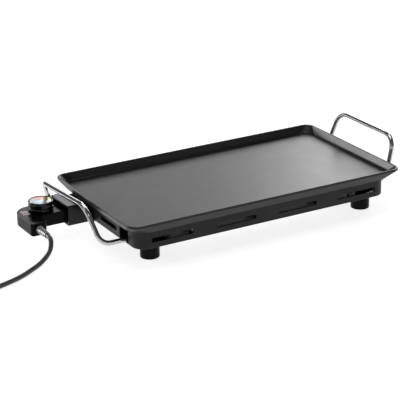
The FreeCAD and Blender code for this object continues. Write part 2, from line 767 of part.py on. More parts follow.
def make_handle_clamp(label, end, y):
    """Pillow block on the base's floor that grips one end of a handle, and its screw."""
    floor_top = dim.base_low + dim.base_floor
    top = dim.handle_low + 6.5
    inner, outer = (dim.handle_end + 1) * end, (dim.handle_end + 15) * end
    low, high = (inner, outer) if end > 0 else (outer, inner)
    side = 1 if y.value > 0 else -1
    lug, rim = y - 9 * side, y + 5.5 * side
    depth = (lug, rim) if side > 0 else (rim, lug)
    block = part_box(label + "_block", (low, high), depth, (floor_top, top))
    bore = part_cylinder(label + "_bore", dim.wire_radius + 0.03, 20, low - 2, y, dim.handle_low, "x")
    screw_x, screw_y = low + 7, y - 6.6 * side
    hole = part_cylinder(label + "_screw_hole", 1.55, 14, screw_x, screw_y, floor_top - 1)
    sub_part(cut(label, block, [bore, hole]), label)
    shank = part_cylinder(label + "_screw_shank", 1.5, top - floor_top, screw_x, screw_y, floor_top + 0.5)
    head = part_cylinder(label + "_screw_head", 2.3, 1.6, screw_x, screw_y, top)
    return fuse(label + "_screw", [shank, head])


def make_handles():
    """Both handles and what holds them."""
    make_right_handle()
    make_left_handle()
    screws = [make_handle_clamp("clamp_front_left", -1, dim.left_leg_front),
              make_handle_clamp("clamp_back_left", -1, dim.left_leg_back),
              make_handle_clamp("clamp_front_right", 1, -dim.right_legs),
              make_handle_clamp("clamp_back_right", 1, dim.right_legs)]
    group("clamp_screws", screws)


# ---------------------------------------------------------------- socket shroud

def make_socket_shroud():
    """Box round the terminals: a low duct through the base's wall and a raised mouth outside."""
    wall = dim.shroud_wall
    front, back = dim.shroud_front, dim.shroud_back
    seat = -dim.base_length * 0.5 + dim.base_wall + 0.1
    duct = part_box("shroud_duct", (-dim.shroud_end, seat + 2), (front, back),
                    (dim.base_low + 0.05, dim.shroud_back_top))
    mouth = part_box("shroud_mouth", (-dim.shroud_end, -dim.shroud_step), (front, back),
                     (dim.base_low + 0.05, dim.shroud_top))
    flange = part_box("shroud_flange", (seat, seat + 2), (front - 5, back + 5),
                      (dim.base_low + dim.base_floor + 0.05, dim.shroud_back_top))
    duct_space = part_box("shroud_duct_space", (-dim.shroud_end - 1, -225), (front + wall, back - wall),
                          (dim.base_low + wall, dim.shroud_back_top - wall))
    mouth_space = part_box("shroud_mouth_space", (-dim.shroud_end - 1, -dim.shroud_step - wall),
                           (front + wall, back - wall), (dim.base_low + wall, dim.shroud_top - wall))
    floor_relief = part_box("shroud_floor_relief", (-dim.base_length * 0.5 - 0.05, -225),
                            (front - 1, back + 1), (dim.base_low - 1, dim.base_low + dim.base_floor + 0.05))
    holes = [part_cylinder(f"shroud_hole_{number}", 1.55, 4, seat - 1, y, z, "x")
             for number, (y, z) in enumerate(shroud_screw_places(), start=1)]
    shell = cut("shroud_shell", fuse("shroud_blank", [duct, mouth, flange]),
                [duct_space, mouth_space, floor_relief] + holes)
    doc.recompute()
    rounded = doc.addObject("Part::Fillet", "socket_shroud")
    rounded.Base = shell
    outer = []
    for index, edge in enumerate(shell.Shape.Edges, start=1):
        box = edge.BoundBox
        along_x = box.XLength > 15 and box.YLength < 0.01 and box.ZLength < 0.01
        outside = min(abs(box.Center.y - front.value), abs(box.Center.y - back.value)) < 0.01
        if along_x and outside:
            outer.append((index, 2.0, 2.0))
    rounded.Edges = outer
    sub_part(rounded, "socket_shroud")
    screws = []
    for number, (y, z) in enumerate(shroud_screw_places(), start=1):
        shank = part_cylinder(f"shroud_screw_shank_{number}", 1.5, 4.5, seat - 1.7, y, z, "x")
        head = part_cylinder(f"shroud_screw_head_{number}", 2.4, 1.6, seat + 2, y, z, "x")
        screws.append(fuse(f"shroud_screw_{number}", [shank, head]))
    group("shroud_screws", screws)


# ---------------------------------------------------------------- controller

def controller_outline():
    """Plan of the controller: a head along Y and a neck along X."""
    return [(-dim.head_end, dim.head_front), (-dim.head_inner, dim.head_front),
            (-dim.head_inner, dim.neck_front), (-dim.neck_end, dim.neck_front),
            (-dim.neck_end, dim.body_back), (-dim.head_end, dim.body_back)]


def controller_hollow_outline():
    """Plan of the space inside the controller, one wall inwards, with its large corner in short facets."""
    wall = dim.body_wall
    reach = dim.head_round - wall
    turned = []
    for step in range(5):
        angle = math.radians(90 + 22.5 * step)
        turned.append((-dim.head_end + dim.head_round + reach * math.cos(angle),
                       dim.body_back - dim.head_round + reach * math.sin(angle)))
    return [(-dim.head_end + wall, dim.head_front + wall), (-dim.head_inner - wall, dim.head_front + wall),
            (-dim.head_inner - wall, dim.neck_front + wall), (-dim.neck_end - wall, dim.neck_front + wall),
            (-dim.neck_end - wall, dim.body_back - wall)] + turned


def case_screw_places():
    """X and Y of the screws that close the controller."""
    return [(-dim.head_end + 8, dim.head_front + 8), (-dim.neck_end - 8, dim.body_back - 5),
            (-dim.neck_end - 8, dim.neck_front + 5)]


def make_controller_half(label, low, high, is_upper):
    """One moulded half: outline, rounded corners, hollow inside, holes for terminals and probe."""
    body = new_body(label)
    outline = new_sketch(body, offset=low)
    add_polygon(outline, controller_outline())
    pad(body, outline, high - low)
    corners = ((-dim.head_end.value, dim.body_back.value, dim.head_round),
               (-dim.head_end.value, dim.head_front.value, 5),
               (-dim.head_inner.value, dim.head_front.value, 5),
               (-dim.head_inner.value, dim.neck_front.value, 7))
    for x, y, radius in corners:
        fillet(body, radius, upright_near(x, y))
    fillet(body, 1.4 if is_upper else 2.6, at_height(high.value if is_upper else low.value))
    inside = new_sketch(body, offset=low if is_upper else high)
    add_polygon(inside, controller_hollow_outline())
    pocket(body, inside, high - low - dim.body_wall, reverse=is_upper)
    roof = high - dim.body_wall if is_upper else low + dim.body_wall
    bosses = new_sketch(body, offset=roof)
    for x, y in case_screw_places():
        add_circle(bosses, 3 if is_upper else 4.2, x, y)
    pad(body, bosses, roof - low - 0.1 if is_upper else 3, reverse=is_upper)
    pilots = new_sketch(body, offset=low)
    for x, y in case_screw_places():
        add_circle(pilots, 1.52, x, y)
    pocket(body, pilots, 8, reverse=True)
    if not is_upper:
        recesses = new_sketch(body, offset=low)
        for x, y in case_screw_places():
            add_circle(recesses, 2.9, x, y)
        pocket(body, recesses, 3, reverse=True)
    ends = new_sketch(body, "YZ_Plane", offset=-dim.neck_end - 5)
    for y in pin_places():
        add_circle(ends, dim.pin_radius + 1.4, y, dim.socket_height)
    add_circle(ends, dim.probe_radius + 0.05, dim.socket_y, dim.socket_height)
    pocket(body, ends, 8, reverse=True)
    relief = new_sketch(body, "XZ_Plane", offset=-dim.head_front - 5)
    add_circle(relief, dim.relief_root - 1.55, -dim.relief_x, dim.socket_height)
    pocket(body, relief, 8, reverse=True)
    if is_upper:
        top = new_sketch(body, offset=high)
        add_circle(top, dim.spindle_radius + 0.06, -dim.knob_x, dim.knob_y)
        add_rounded_rect(top, dim.lens_length, dim.lens_width, 4, -dim.lens_x, dim.lens_y)
        pocket(body, top, 6)


def make_controller_screws():
    """Screws that close the two halves from below."""
    screws = []
    for number, (x, y) in enumerate(case_screw_places(), start=1):
        shank = part_cylinder(f"case_screw_shank_{number}", 1.5, 15, x, y, dim.body_low + 2)
        head = part_cylinder(f"case_screw_head_{number}", 2.8, 1.8, x, y, dim.body_low + 1.2)
        screws.append(fuse(f"case_screw_{number}", [shank, head]))
    group("controller_screws", screws)


def make_control_knob():
    """Turned knob with a hollow skirt, a hub on the spindle and a seat for the dial."""
    body = new_body("control_knob", -dim.knob_x, dim.knob_y)
    profile = new_sketch(body, "XZ_Plane")
    bore = dim.spindle_radius + 0.03
    wall = dim.knob_radius - 2
    roof = dim.dial_seat - 2
    add_polygon(profile, [(bore, dim.knob_low + 1), (6, dim.knob_low + 1), (6, roof), (wall, roof),
                          (wall, dim.knob_low), (dim.knob_radius, dim.knob_low),
                          (dim.knob_radius, dim.knob_groove - 0.9),
                          (dim.knob_radius - 1, dim.knob_groove - 0.4),
                          (dim.knob_radius - 1, dim.knob_groove + 0.4),
                          (dim.knob_radius, dim.knob_groove + 0.9),
                          (dim.knob_radius - 0.5, dim.knob_top), (dim.dial_radius + 0.15, dim.knob_top),
                          (dim.dial_radius + 0.15, dim.dial_seat), (bore, dim.dial_seat)])
    revolve(body, profile, "Z_Axis")
    fillet(body, 0.6, at_height(dim.knob_top.value))


def make_dial_disc():
    """Printed dial, slightly domed, on its seat in the knob."""
    body = new_body("dial_disc", -dim.knob_x, dim.knob_y)
    profile = new_sketch(body, "XZ_Plane")
    add_polygon(profile, [(0, dim.dial_seat), (dim.dial_radius, dim.dial_seat),
                          (dim.dial_radius, dim.dial_seat + 0.6), (dim.dial_radius - 0.4, dim.dial_seat + 1),
                          (dim.dial_radius - 8, dim.dial_top - 0.2), (0, dim.dial_top)])
    revolve(body, profile, "Z_Axis")


def make_spindle():
    """Spindle with a flat, from the thermostat up into the knob's hub."""
    rod = part_cylinder("spindle_rod", dim.spindle_radius, dim.dial_seat - dim.spindle_low - 1, -dim.knob_x,
                        dim.knob_y, dim.spindle_low)
    flat = part_box("spindle_flat", (-dim.knob_x + dim.spindle_radius - 0.8, -dim.knob_x + 5),
                    (dim.knob_y - 5, dim.knob_y + 5), (dim.knob_low + 2, dim.dial_seat))
    sub_part(cut("knob_spindle", rod, [flat]), "knob_spindle")


def make_thermostat():
    """Switch block, its probe and the two female contacts."""
    block = part_box("thermostat_case", (-326, -292), (48, 78), (30.5, 43.2))
    bore = part_cylinder("thermostat_probe_hole", dim.probe_radius + 0.02, 12, -302, dim.socket_y,
                         dim.socket_height, "x")
    sub_part(cut("thermostat_block", block, [bore]), "thermostat_block")
    rod = part_cylinder("thermostat_probe", dim.probe_radius, 301.9 - dim.probe_end.value, -301.9,
                        dim.socket_y, dim.socket_height, "x")
    sub_part(rod, "thermostat_probe")
    contacts = []
    for number, y in enumerate(pin_places(), start=1):
        outer = part_cylinder(f"contact_outer_{number}", dim.pin_radius + 1.2, 24, -275, y,
                              dim.socket_height, "x")
        inner = part_cylinder(f"contact_inner_{number}", dim.pin_radius + 0.1, 22, -272, y,
                              dim.socket_height, "x")
        contacts.append(cut(f"contact_{number}", outer, [inner]))
    group("socket_contacts", contacts)


def make_pilot():
    """Window flush with the controller's top, and the lamp below it."""
    body = new_body("pilot_lens")
    window = new_sketch(body, offset=dim.body_top - 2)
    add_rounded_rect(window, dim.lens_length - 0.2, dim.lens_width - 0.2, 3.9, -dim.lens_x, dim.lens_y)
    pad(body, window, 2.3)
    fillet(body, 0.4, at_height(dim.body_top.value + 0.3))
    lamp = part_cylinder("pilot_lamp", 2.6, 15, -dim.lens_x, dim.lens_y - 8, 42.5, "y")
    sub_part(lamp, "pilot_lamp")


def make_strain_relief():
    """Tapered sleeve with ribs, pointing out of the head's front."""
    body = new_body("strain_relief", -dim.relief_x, 0, dim.socket_height)
    profile = new_sketch(body, "XY_Plane")
    length = dim.head_front - dim.relief_tip
    ribs = 5
    points = [(0, dim.head_front + 4.5), (dim.relief_root - 1.6, dim.head_front + 4.5),
              (dim.relief_root - 1.6, dim.head_front - 0.05), (dim.relief_root, dim.head_front - 0.05)]
    pitch = length * (1 / (ribs + 0.5))
    for rib in range(ribs):
        share = (rib + 0.55) / (ribs + 0.5)
        radius = dim.relief_root - (dim.relief_root - dim.relief_end) * share
        start = dim.head_front - pitch * (rib + 0.55)
        points += [(radius, start), (radius - 1, start - pitch * 0.08),
                   (radius - 1, start - pitch * 0.42), (radius - 0.1, start - pitch * 0.5)]
    points += [(dim.relief_end, dim.relief_tip), (0, dim.relief_tip)]
    add_polygon(profile, points)
    revolve(body, profile, "Y_Axis")


# ---------------------------------------------------------------- cord

CORD_ROUTE = [(-335.5, -18, 38.5), (-335.5, -27, 38.5), (-336.5, -34, 32.5), (-340, -36.5, 21),
              (-348.5, -37, 10.5), (-361, -40.5, 3.9), (-379, -53, 3.9), (-403, -68.5, 3.9),
              (-431, -79.5, 3.9), (-458, -87.5, 3.9), (-484, -92, 3.9)]
TAIL_ROUTE = [(-558, -19, 11.7), (-558.4, -8, 12.2), (-557.8, 2, 16.6), (-558, 11, 19.05),
              (-558, 20, 19.05)]


def make_cord():
    """Mains cord: from the strain relief down to the table, into a round coil and on to the plug."""
    route = [Vector(*point) for point in CORD_ROUTE]
    tail = [Vector(*point) for point in TAIL_ROUTE]
    for points in (route, tail):
        print("cord radii:", [round(radius, 1) for radius in widest_radii(points)])
    length = tube("power_cord", route, widest_radii(route), dim.cord_radius.value)
    rest = tube("cord_tail", tail, widest_radii(tail), dim.cord_radius.value)
    print(f"cord from the relief to the coil {length:.0f} mm, from the coil to the plug {rest:.0f} mm")
    body = new_body("cord_coil", -dim.coil_x, dim.coil_y)
    ring = new_sketch(body, "XZ_Plane")
    add_rounded_rect(ring, dim.coil_half * 2, dim.coil_top - 0.1, 3.4, dim.coil_radius,
                     dim.coil_top * 0.5 + 0.05)
    revolve(body, ring, "Z_Axis")


def make_plug():
    """Round two-pin earthed plug lying on the table, with its pins towards +Y."""
    axis_x, axis_z = -dim.plug_x, dim.plug_radius + 0.05
    body = new_body("mains_plug", axis_x, dim.plug_y, axis_z)
    profile = new_sketch(body, "XY_Plane")
    shoulder = dim.plug_neck
    face = dim.plug_neck + dim.plug_body
    add_polygon(profile, [(0, 0), (5.4, 0), (7.2, shoulder - 9), (15, shoulder + 2),
                          (16.5, shoulder + 12), (dim.plug_radius - 0.6, shoulder + 15),
                          (dim.plug_radius, face - 1.2), (dim.plug_radius - 1, face), (0, face)])
    revolve(body, profile, "Y_Axis")
    slots = new_sketch(body, "XZ_Plane", offset=-face - 1)
    for side in (-1, 1):
        add_rounded_rect(slots, 6, 7, 0.8, 0, dim.plug_radius * side)
    pocket(body, slots, 19)
    pins = []
    for number, side in enumerate((-1, 1), start=1):
        pins.append(part_cylinder(f"plug_pin_{number}", dim.plug_pin_radius, dim.plug_pin_length,
                                  axis_x + dim.plug_pin_half * side, dim.plug_y + face, axis_z, "y"))
    group("plug_pins", pins)


# ---------------------------------------------------------------- the whole griddle

make_griddle_plate()
make_probe_block()
make_heating_element()
make_element_clips()
make_terminals()
make_base_frame()
make_reflector_tray()
make_plate_fixings()
make_feet()
make_handles()
make_socket_shroud()
parting = dim.socket_height
make_controller_half("controller_lower", dim.body_low, parting, is_upper=False)
make_controller_half("controller_upper", parting, dim.body_top, is_upper=True)
make_controller_screws()
make_control_knob()
make_dial_disc()
make_spindle()
make_thermostat()
make_pilot()
make_strain_relief()
make_cord()
make_plug()
doc.recompute()

problems = []
for obj in doc.Objects:
    if {"Invalid", "Error"} & set(obj.State):
        problems.append(f"{obj.Label} ({obj.Name}): {obj.State}")
for obj in sub_parts:
    if obj.Shape.isNull() or not obj.Shape.isValid():
        problems.append(f"{obj.Label}: shape is not valid")
if problems:
    raise ValueError("failed objects: " + "; ".join(problems))

os.makedirs("parts", exist_ok=True)
whole = FreeCAD.BoundBox()
for obj in sub_parts:
    obj.Shape.exportStep(os.path.join("parts", obj.Label + ".step"))
    whole.add(obj.Shape.BoundBox)
    print(f"{obj.Label}: {len(obj.Shape.Solids)} solid(s), {obj.Shape.Volume / 1000:.2f} cm3")
print(f"{len(sub_parts)} sub-parts, box {whole}")
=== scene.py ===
"""Looks of the electric griddle: materials, cord, knob, dial, floor, light and camera.

Lengths are in metres, unless a comment says millimetres.
"""

import json
import math

import bmesh
import bpy
from mathutils import Matrix, Vector


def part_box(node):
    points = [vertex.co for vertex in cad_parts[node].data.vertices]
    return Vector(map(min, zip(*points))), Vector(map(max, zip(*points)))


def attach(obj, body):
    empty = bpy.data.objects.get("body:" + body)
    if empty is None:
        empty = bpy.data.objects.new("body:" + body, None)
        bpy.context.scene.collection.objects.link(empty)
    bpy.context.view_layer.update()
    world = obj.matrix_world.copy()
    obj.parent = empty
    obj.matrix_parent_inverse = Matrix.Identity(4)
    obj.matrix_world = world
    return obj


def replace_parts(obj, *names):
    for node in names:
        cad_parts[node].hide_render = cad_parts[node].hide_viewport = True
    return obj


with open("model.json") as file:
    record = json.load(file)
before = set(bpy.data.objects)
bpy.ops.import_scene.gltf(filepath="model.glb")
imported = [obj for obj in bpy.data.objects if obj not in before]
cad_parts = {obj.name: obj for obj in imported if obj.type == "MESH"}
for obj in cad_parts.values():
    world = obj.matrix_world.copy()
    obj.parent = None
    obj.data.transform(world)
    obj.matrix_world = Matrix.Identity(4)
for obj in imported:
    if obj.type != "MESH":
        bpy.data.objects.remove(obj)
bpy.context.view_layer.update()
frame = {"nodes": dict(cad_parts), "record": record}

PLATE_SHIFT = 0.035  # the CAD file measures from the middle of the plate
MM_PER_METRE = 1000
CORD_DIAMETER = 0.0076


def from_plate(x, y, z):
    """A point measured from the middle of the plate, in the frame's own coordinates."""
    return Vector((x + PLATE_SHIFT, y, z))


# ---------------------------------------------------------------- camera

def make_camera():
    """Product view from the front left and above, with a long lens."""
    azimuth, elevation, roll = math.radians(-29.584), math.radians(21.17), math.radians(-0.897)
    distance = 2.6352
    target = from_plate(-0.0626, -0.0154, 0.040)
    away = Vector((math.sin(azimuth) * math.cos(elevation), -math.cos(azimuth) * math.cos(elevation),
                   math.sin(elevation)))
    right = (-away).cross(Vector((0, 0, 1))).normalized()
    up = right.cross(-away)
    right, up = (right * math.cos(roll) + up * math.sin(roll), up * math.cos(roll) - right * math.sin(roll))
    data = bpy.data.cameras.new("camera")
    data.sensor_width = 36
    data.lens = 146.44
    data.clip_end = 30
    camera = bpy.data.objects.new("camera", data)
    bpy.context.collection.objects.link(camera)
    turn = Matrix((right, up, away)).transposed().to_4x4()
    camera.matrix_world = Matrix.Translation(target + away * distance) @ turn
    bpy.context.scene.camera = camera


# ---------------------------------------------------------------- materials

class Shader:
    """A principled material and a few procedural helpers round it."""

    def __init__(self, name, color, roughness, metallic=0.0, **sockets):
        self.material = bpy.data.materials.new(name)
        self.material.use_nodes = True
        self.tree = self.material.node_tree
        self.bsdf = next(node for node in self.tree.nodes if node.type == "BSDF_PRINCIPLED")
        self.bsdf.inputs["Base Color"].default_value = (*color, 1)
        self.bsdf.inputs["Roughness"].default_value = roughness
        self.bsdf.inputs["Metallic"].default_value = metallic
        for socket, value in sockets.items():
            self.bsdf.inputs[socket.replace("_", " ")].default_value = value
        coordinates = self.tree.nodes.new("ShaderNodeTexCoord")
        self.place = coordinates.outputs["Object"]
        self.normal = None

    def node(self, kind, **settings):
        """A new node with its properties set."""
        node = self.tree.nodes.new(kind)
        for key, value in settings.items():
            setattr(node, key, value)
        return node

    def link(self, output, socket):
        """Join two sockets."""
        self.tree.links.new(output, socket)

    def stretched(self, factors):
        """Object coordinates scaled along each axis."""
        mapping = self.node("ShaderNodeMapping")
        mapping.inputs["Scale"].default_value = factors
        self.link(self.place, mapping.inputs["Vector"])
        return mapping.outputs["Vector"]

    def noise(self, scale, detail, factors=None):
        """A noise value, scale in cells per metre."""
        noise = self.node("ShaderNodeTexNoise")
        noise.inputs["Scale"].default_value = scale
        noise.inputs["Detail"].default_value = detail
        self.link(self.place if factors is None else self.stretched(factors), noise.inputs["Vector"])
        return noise.outputs["Fac"]

    def cells(self, scale):
        """Distance to the nearest of many scattered points."""
        voronoi = self.node("ShaderNodeTexVoronoi")
        voronoi.inputs["Scale"].default_value = scale
        self.link(self.place, voronoi.inputs["Vector"])
        return voronoi.outputs["Distance"]

    def spread(self, value, low, high, to_low, to_high):
        """Map a value's range to another range."""
        mapped = self.node("ShaderNodeMapRange")
        limits = {"From Min": low, "From Max": high, "To Min": to_low, "To Max": to_high}
        for socket, number in limits.items():
            mapped.inputs[socket].default_value = number
        self.link(value, mapped.inputs["Value"])
        return mapped.outputs["Result"]

    def math(self, operation, first, second=0.0):
        """Arithmetic on one or two values or numbers."""
        node = self.node("ShaderNodeMath", operation=operation)
        for socket, value in zip(node.inputs, (first, second)):
            if isinstance(value, (int, float)):
                socket.default_value = value
            else:
                self.link(value, socket)
        return node.outputs["Value"]

    def mix(self, value, first, second):
        """Colour between two colours by a value."""
        mix = self.node("ShaderNodeMix", data_type="RGBA")
        self.link(value, mix.inputs["Factor"])
        mix.inputs["A"].default_value = (*first, 1)
        mix.inputs["B"].default_value = (*second, 1)
        return mix.outputs["Result"]

    def color_by(self, value, first, second):
        """Vary the base colour."""
        self.link(self.mix(value, first, second), self.bsdf.inputs["Base Color"])
        return self

    def roughness_by(self, value, low, high):
        """Vary the roughness."""
        self.link(self.spread(value, 0.3, 0.7, low, high), self.bsdf.inputs["Roughness"])
        return self

    def bump(self, value, height):
        """Add fine relief, height in metres."""
        bump = self.node("ShaderNodeBump")
        bump.inputs["Distance"].default_value = height
        self.link(value, bump.inputs["Height"])
        if self.normal is not None:
            self.link(self.normal, bump.inputs["Normal"])
        self.normal = bump.outputs["Normal"]
        self.link(self.normal, self.bsdf.inputs["Normal"])
        return self


DIAL_TINTS = ((0.0, (0.25, 0.33, 0.42)), (0.18, (0.44, 0.57, 0.65)), (0.36, (0.56, 0.57, 0.52)),
              (0.52, (0.50, 0.45, 0.20)), (0.68, (0.40, 0.16, 0.11)), (0.84, (0.34, 0.12, 0.11)),
              (1.0, (0.25, 0.33, 0.42)))
DIAL_TICKS = 40
TICK_SHARE = 0.14  # of the way from one tick to the next
TICK_INNER = 0.0136
TICK_OUTER = 0.0156


def shade(color, factor):
    """A colour made lighter or darker."""
    return tuple(min(1.0, channel * factor) for channel in color)


def moulded(name, color, roughness, grain=2600, height=0.00002, vary=0.25, **sockets):
    """Moulded plastic: fine spark texture, faint flow marks and uneven gloss."""
    made = Shader(name, color, roughness, **sockets)
    flow = made.noise(18, 2)
    made.color_by(made.spread(flow, 0.35, 0.65, 0, 1), shade(color, 1 - vary), shade(color, 1 + vary))
    made.roughness_by(made.noise(90, 3), roughness * 0.88, roughness * 1.12)
    made.bump(made.noise(grain, 4), height)
    return made.material


def metal(name, color, roughness, factors=(1, 1, 1), scale=900, height=0.000004, **sockets):
    """Worked metal: fine lines or grain, slightly uneven roughness and tone."""
    made = Shader(name, color, roughness, metallic=1.0, **sockets)
    lines = made.noise(scale, 4, factors)
    made.color_by(made.spread(lines, 0.3, 0.7, 0, 1), shade(color, 0.9), shade(color, 1.04))
    made.roughness_by(made.noise(70, 3), roughness * 0.8, roughness * 1.25)
    made.bump(lines, height)
    return made.material


def plate_coating():
    """Non-stick coating: a fine pebbled skin with darker flecks and slightly uneven sheen."""
    made = Shader("plate_coating", (0.008, 0.008, 0.009), 0.38, Specular_IOR_Level=0.3)
    flecks = made.cells(900)
    made.color_by(made.spread(flecks, 0.1, 0.6, 0, 1), (0.004, 0.004, 0.0045), (0.011, 0.011, 0.0115))
    made.roughness_by(made.noise(30, 4), 0.365, 0.395)
    made.bump(made.noise(1500, 4), 0.00002)
    made.bump(made.noise(120, 2), 0.000008)
    return made.material


def dial_print():
    """Brushed dial, tinted round from cool through amber to red, with printed ticks near its edge."""
    made = Shader("dial_print", (0.6, 0.6, 0.6), 0.3, metallic=0.85, Coat_Weight=0.6, Coat_Roughness=0.05)
    low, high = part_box("dial_disc")
    shift = made.node("ShaderNodeVectorMath", operation="SUBTRACT")
    shift.inputs[1].default_value = (low + high) / 2
    made.link(made.place, shift.inputs[0])
    apart = made.node("ShaderNodeSeparateXYZ")
    made.link(shift.outputs["Vector"], apart.inputs["Vector"])
    turn = made.spread(made.math("ARCTAN2", apart.outputs["Y"], apart.outputs["X"]), -math.pi, math.pi, 0, 1)
    ramp = made.node("ShaderNodeValToRGB")
    while len(ramp.color_ramp.elements) < len(DIAL_TINTS):
        ramp.color_ramp.elements.new(0.5)
    for element, (position, color) in zip(ramp.color_ramp.elements, DIAL_TINTS):
        element.position = position
        element.color = (*color, 1)
    made.link(turn, ramp.inputs["Fac"])
    flat = made.node("ShaderNodeVectorMath", operation="MULTIPLY")
    flat.inputs[1].default_value = (1, 1, 0)
    made.link(shift.outputs["Vector"], flat.inputs[0])
    reach = made.node("ShaderNodeVectorMath", operation="LENGTH")
    made.link(flat.outputs["Vector"], reach.inputs[0])
    radius = reach.outputs["Value"]
    tick = made.math("LESS_THAN", made.math("FRACT", made.math("MULTIPLY", turn, DIAL_TICKS)), TICK_SHARE)
    ring = made.math("MULTIPLY", made.math("GREATER_THAN", radius, TICK_INNER),
                     made.math("LESS_THAN", radius, TICK_OUTER))
    printed = made.node("ShaderNodeMix", data_type="RGBA")
    made.link(made.math("MULTIPLY", tick, ring), printed.inputs["Factor"])
    made.link(ramp.outputs["Color"], printed.inputs["A"])
    printed.inputs["B"].default_value = (0.03, 0.03, 0.04, 1)
    made.link(printed.outputs["Result"], made.bsdf.inputs["Base Color"])
    made.bump(made.noise(900, 3, (1, 6, 1)), 0.000004)
    return made.material


def cord_sheath():
    """Smooth grey rubber sheath with a faint satin bloom."""
    made = Shader("cord_sheath", (0.07, 0.07, 0.071), 0.34, Specular_IOR_Level=0.35)
    bloom = made.noise(60, 3)
    made.color_by(made.spread(bloom, 0.3, 0.7, 0, 1), (0.04, 0.04, 0.041), (0.065, 0.065, 0.067))
    made.roughness_by(made.noise(300, 3), 0.30, 0.42)
    made.bump(made.noise(1500, 2), 0.00001)
    return made.material


def tinted_lens():
    """Tinted window, shown opaque, with fine lines moulded under it."""
    made = Shader("tinted_lens", (0.2, 0.13, 0.14), 0.3, Specular_IOR_Level=0.2)
    wave = made.node("ShaderNodeTexWave", bands_direction="Y")
    wave.inputs["Scale"].default_value = 180
    made.link(made.place, wave.inputs["Vector"])
    made.color_by(wave.outputs["Fac"], (0.24, 0.17, 0.185), (0.38, 0.29, 0.31))
    made.bump(wave.outputs["Fac"], 0.00002)
    return made.material


def make_materials():
    """Every material, by the record's slot."""
    return {
        "coated_plate": plate_coating(),
        "bare_aluminium": metal("bare_aluminium", (0.66, 0.66, 0.67), 0.5, scale=400, height=0.00003),
        "element_sheath": metal("element_sheath", (0.24, 0.22, 0.21), 0.55, scale=500),
        "contact_metal": metal("contact_metal", (0.78, 0.77, 0.75), 0.22),
        "contact_brass": metal("contact_brass", (0.75, 0.56, 0.27), 0.25),
        "ceramic_collar": moulded("ceramic_collar", (0.8, 0.77, 0.7), 0.6, vary=0.05),
        "sheet_steel": metal("sheet_steel", (0.56, 0.56, 0.57), 0.35, factors=(1, 14, 1)),
        "screw_steel": metal("screw_steel", (0.58, 0.57, 0.55), 0.3),
        "base_plastic": moulded("base_plastic", (0.014, 0.014, 0.015), 0.42, grain=3000, height=0.00002,
                                Specular_IOR_Level=0.2),
        "tray_sheet": moulded("tray_sheet", (0.62, 0.62, 0.63), 0.5, grain=700, vary=0.04, Metallic=0.25),
        "foot_plastic": moulded("foot_plastic", (0.002, 0.002, 0.003), 0.1, grain=800, height=0.000003,
                                Specular_IOR_Level=0.08),
        "pad_rubber": moulded("pad_rubber", (0.028, 0.028, 0.028), 0.8, grain=1500, height=0.00004),
        "handle_chrome": metal("handle_chrome", (0.5, 0.5, 0.51), 0.1, scale=600, height=0.000001),
        "clamp_plastic": moulded("clamp_plastic", (0.03, 0.03, 0.03), 0.5),
        "shroud_plastic": moulded("shroud_plastic", (0.002, 0.0025, 0.005), 0.16, grain=1500,
                                  height=0.000004, Specular_IOR_Level=0.28),
        "controller_plastic": moulded("controller_plastic", (0.003, 0.003, 0.004), 0.16, grain=2200,
                                      height=0.000012, Specular_IOR_Level=0.06),
        "knob_plastic": moulded("knob_plastic", (0.002, 0.002, 0.003), 0.12, grain=900, height=0.000003,
                                Specular_IOR_Level=0.22),
        "dial_face": dial_print(),
        "switch_plastic": moulded("switch_plastic", (0.7, 0.66, 0.6), 0.5, vary=0.06),
        "probe_steel": metal("probe_steel", (0.62, 0.62, 0.62), 0.3, factors=(1, 8, 8)),
        "lens_plastic": tinted_lens(),
        "lamp_glass": moulded("lamp_glass", (0.9, 0.5, 0.3), 0.1, vary=0.1),
        "relief_rubber": moulded("relief_rubber", (0.20, 0.20, 0.205), 0.22, grain=900, height=0.000004,
                                 Coat_Weight=0.8, Coat_Roughness=0.1),
        "cord_sheath": cord_sheath(),
        "plug_plastic": moulded("plug_plastic", (0.02, 0.02, 0.021), 0.32, grain=1800, height=0.00001),
    }


def dress_nodes(materials):
    """Give every CAD node the material of its slot."""
    for part in frame["record"]["subparts"]:
        piece = frame["nodes"][part["node"]]
        piece.data.materials.clear()
        piece.data.materials.append(materials[part["material_slot"]])


# ---------------------------------------------------------------- mesh helpers

SHARP_EDGE = math.radians(32)
MERGE_WITHIN = 1e-7


def new_piece(name, mesh, material, body):
    """A mesh object that rides on a body and takes its finish from a slot."""
    piece = bpy.data.objects.new(name, mesh)
    bpy.context.collection.objects.link(piece)
    mesh.materials.append(material)
    mesh.shade_smooth()
    mesh.set_sharp_from_angle(angle=SHARP_EDGE)
    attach(piece, body)
    return piece


def lathe(name, profile, steps=96):
    """A closed ring mesh turned about Z from (radius, height) points."""
    work = bmesh.new()
    rings = []
    for step in range(steps):
        angle = 2 * math.pi * step / steps
        rings.append([work.verts.new((radius * math.cos(angle), radius * math.sin(angle), height))
                      for radius, height in profile])
    for step in range(steps):
        here, there = rings[step], rings[(step + 1) % steps]
        for index in range(len(profile)):
            after = (index + 1) % len(profile)
            work.faces.new((here[index], there[index], there[after], here[after]))
    bmesh.ops.remove_doubles(work, verts=work.verts, dist=MERGE_WITHIN)
    bmesh.ops.recalc_face_normals(work, faces=work.faces)
    mesh = bpy.data.meshes.new(name)
    work.to_mesh(mesh)
    work.free()
    return mesh


